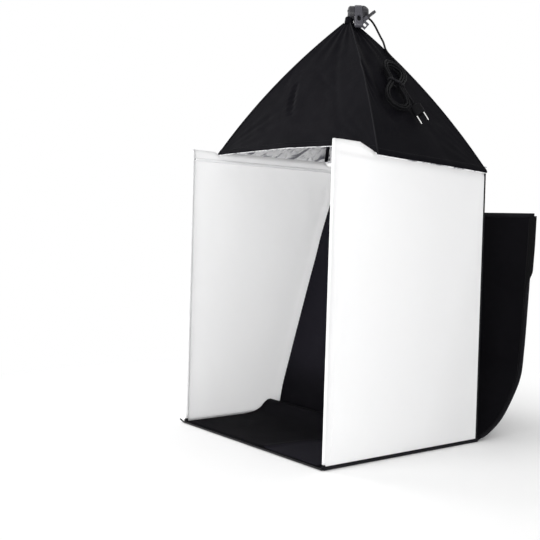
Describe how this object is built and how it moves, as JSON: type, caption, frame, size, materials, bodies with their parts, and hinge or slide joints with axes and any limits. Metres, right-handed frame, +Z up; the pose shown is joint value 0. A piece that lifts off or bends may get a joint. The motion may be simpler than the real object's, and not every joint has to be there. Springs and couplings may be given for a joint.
{
  "type": "light tent cube",
  "caption": "Table-top light tent with white cloth side walls, an open front, a black backdrop sweep and curved back panel, and a pyramid hood that carries a corded lamp head",
  "frame": {"origin": "Centre of the floor panel's underside, on the table", "axes": "+X to the right wall, +Y to the back, +Z up; the open front faces -Y"},
  "size_m": [0.4206, 0.4928, 0.7667],
  "materials": {
    "black_cloth": "matt black woven nylon",
    "black_board": "black cloth over a stiff board",
    "white_cloth": "white translucent nylon",
    "silver_cloth": "crinkled reflective silver cloth",
    "rod_finish": "black fibreglass rod",
    "dark_plastic": "dark moulded plastic",
    "grey_plastic": "dark grey moulded plastic",
    "black_rubber": "soft black rubber",
    "steel": "plain steel",
    "brass": "plain brass",
    "bulb_glass_finish": "frosted white glass"
  },
  "bodies": {
    "tent": {"back_left_pole": "rod_finish", "back_left_pole_foot": "black_rubber", "back_left_pole_sleeve": "black_cloth", "back_left_rib": "rod_finish", "back_left_rib_sleeve": "black_cloth", "back_rail": "rod_finish", "back_right_pole": "rod_finish", "back_right_pole_foot": "black_rubber", "back_right_pole_sleeve": "black_cloth", "back_right_rib": "rod_finish", "back_right_rib_sleeve": "black_cloth", "backdrop_sweep": "black_cloth", "centre_contact": "brass", "cord_hank": "black_rubber", "cord_lead": "black_rubber", "cord_tail": "black_rubber", "floor_front_rod": "rod_finish", "floor_panel": "black_board", "front_left_pole": "rod_finish", "front_left_pole_foot": "black_rubber", "front_left_pole_sleeve": "white_cloth", "front_left_rib": "rod_finish", "front_left_rib_sleeve": "black_cloth", "front_right_pole": "rod_finish", "front_right_pole_foot": "black_rubber", "front_right_pole_sleeve": "white_cloth", "front_right_rib": "rod_finish", "front_right_rib_sleeve": "black_cloth", "hank_tie": "black_rubber", "hood_back": "black_cloth", "hood_front": "black_cloth", "hood_left": "black_cloth", "hood_lining": "silver_cloth", "hood_right": "black_cloth", "hub_nut": "dark_plastic", "left_side_rail": "rod_finish", "left_wall": "white_cloth", "left_wall_hem_band": "black_cloth", "plug_blade_left": "brass", "plug_blade_right": "brass", "plug_body": "black_rubber", "rib_hub": "dark_plastic", "right_side_rail": "rod_finish", "right_wall": "white_cloth", "right_wall_hem_band": "black_cloth", "screw_shell": "brass", "socket_housing": "dark_plastic", "strain_relief": "black_rubber", "tilt_bolt": "steel", "tilt_lug": "dark_plastic", "tip_collar": "black_rubber"},
    "back_panel": {"back_panel": "black_cloth", "back_panel_tab_left": "black_cloth", "back_panel_tab_right": "black_cloth"},
    "bulb": {"bulb_cap": "steel", "bulb_glass": "bulb_glass_finish"},
    "stand_clamp": {"stand_clamp": "grey_plastic"},
    "clamp_screw": {"clamp_screw": "dark_plastic"},
    "tilt_knob": {"tilt_knob": "dark_plastic"},
    "switch_rocker": {"switch_rocker": "black_rubber"}
  },
  "joints": [
    {"name": "back_panel_swing", "type": "hinge", "parent": "tent", "child": "back_panel", "pos_m": [0, 0.1783, 0.0025], "axis": [1, 0, 0], "range_deg": [-18, 16]},
    {"name": "stand_clamp_tilt", "type": "hinge", "parent": "tent", "child": "stand_clamp", "pos_m": [0, 0.0285, 0.7521], "axis": [-0.6046, -0.7965, 0], "range_deg": [0, 110]},
    {"name": "tilt_knob_turn", "type": "hinge", "parent": "tent", "child": "tilt_knob", "pos_m": [0.01391, 0.04682, 0.7521], "axis": [0.6046, 0.7965, 0], "continuous": true},
    {"name": "clamp_screw_turn", "type": "hinge", "parent": "stand_clamp", "child": "clamp_screw", "pos_m": [0.03257, 0.04247, 0.74233], "axis": [0.4764, 0.6277, 0.6157], "continuous": true},
    {"name": "switch_rock", "type": "hinge", "parent": "tent", "child": "switch_rocker", "pos_m": [-0.0006, 0.0277, 0.7521], "axis": [-0.7965, 0.6046, 0], "range_deg": [-7, 7]},
    {"name": "bulb_turn", "type": "hinge", "parent": "tent", "child": "bulb", "pos_m": [0, 0.0285, 0.65], "axis": [0, 0, 1], "continuous": true}
  ]
}
